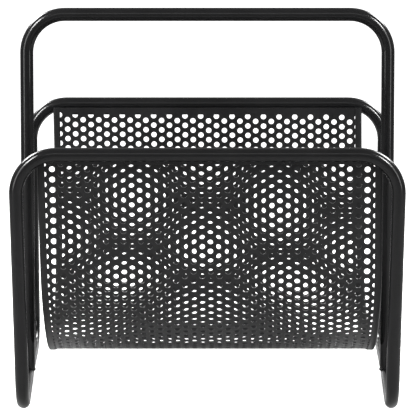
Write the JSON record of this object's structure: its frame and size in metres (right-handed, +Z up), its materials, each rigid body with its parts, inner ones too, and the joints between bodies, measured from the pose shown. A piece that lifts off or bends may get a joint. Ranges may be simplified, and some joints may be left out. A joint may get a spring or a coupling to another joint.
{
  "type": "magazine rack",
  "caption": "Free-standing magazine rack: bent steel tube hoops with a carrying handle and a curved sling of perforated sheet between them.",
  "frame": {"origin": "on the floor, under the middle of the rack", "axes": "+X to the right seen from the front, +Y towards the back, +Z up; the front rail faces -Y"},
  "size_m": [0.3732, 0.299, 0.367],
  "materials": {
    "tube_coat": "satin black powder coat on bent steel tube",
    "sheet_coat": "satin black powder coat on thin perforated steel sheet",
    "weld_coat": "black powder coat over an uneven weld bead",
    "sleeve_steel": "bare steel, hidden inside the runners",
    "floor_pad": "matt grey rubber"
  },
  "bodies": {
    "root": {"front_hoop": "tube_coat", "back_hoop": "tube_coat", "handle_hoop": "tube_coat", "joint_sleeve_left": "sleeve_steel", "joint_sleeve_right": "sleeve_steel", "handle_foot_weld_left": "weld_coat", "handle_foot_weld_right": "weld_coat", "sling_sheet": "sheet_coat", "edge_trim_left": "sheet_coat", "edge_trim_right": "sheet_coat", "top_strip_front": "sheet_coat", "top_strip_back": "sheet_coat", "tack_weld_front_1": "weld_coat", "tack_weld_front_2": "weld_coat", "tack_weld_front_3": "weld_coat", "tack_weld_front_4": "weld_coat", "tack_weld_front_5": "weld_coat", "tack_weld_back_1": "weld_coat", "tack_weld_back_2": "weld_coat", "tack_weld_back_3": "weld_coat", "tack_weld_back_4": "weld_coat", "tack_weld_back_5": "weld_coat", "foot_pad_front_left": "floor_pad", "foot_pad_front_right": "floor_pad", "foot_pad_back_left": "floor_pad", "foot_pad_back_right": "floor_pad"}
  },
  "joints": []
}
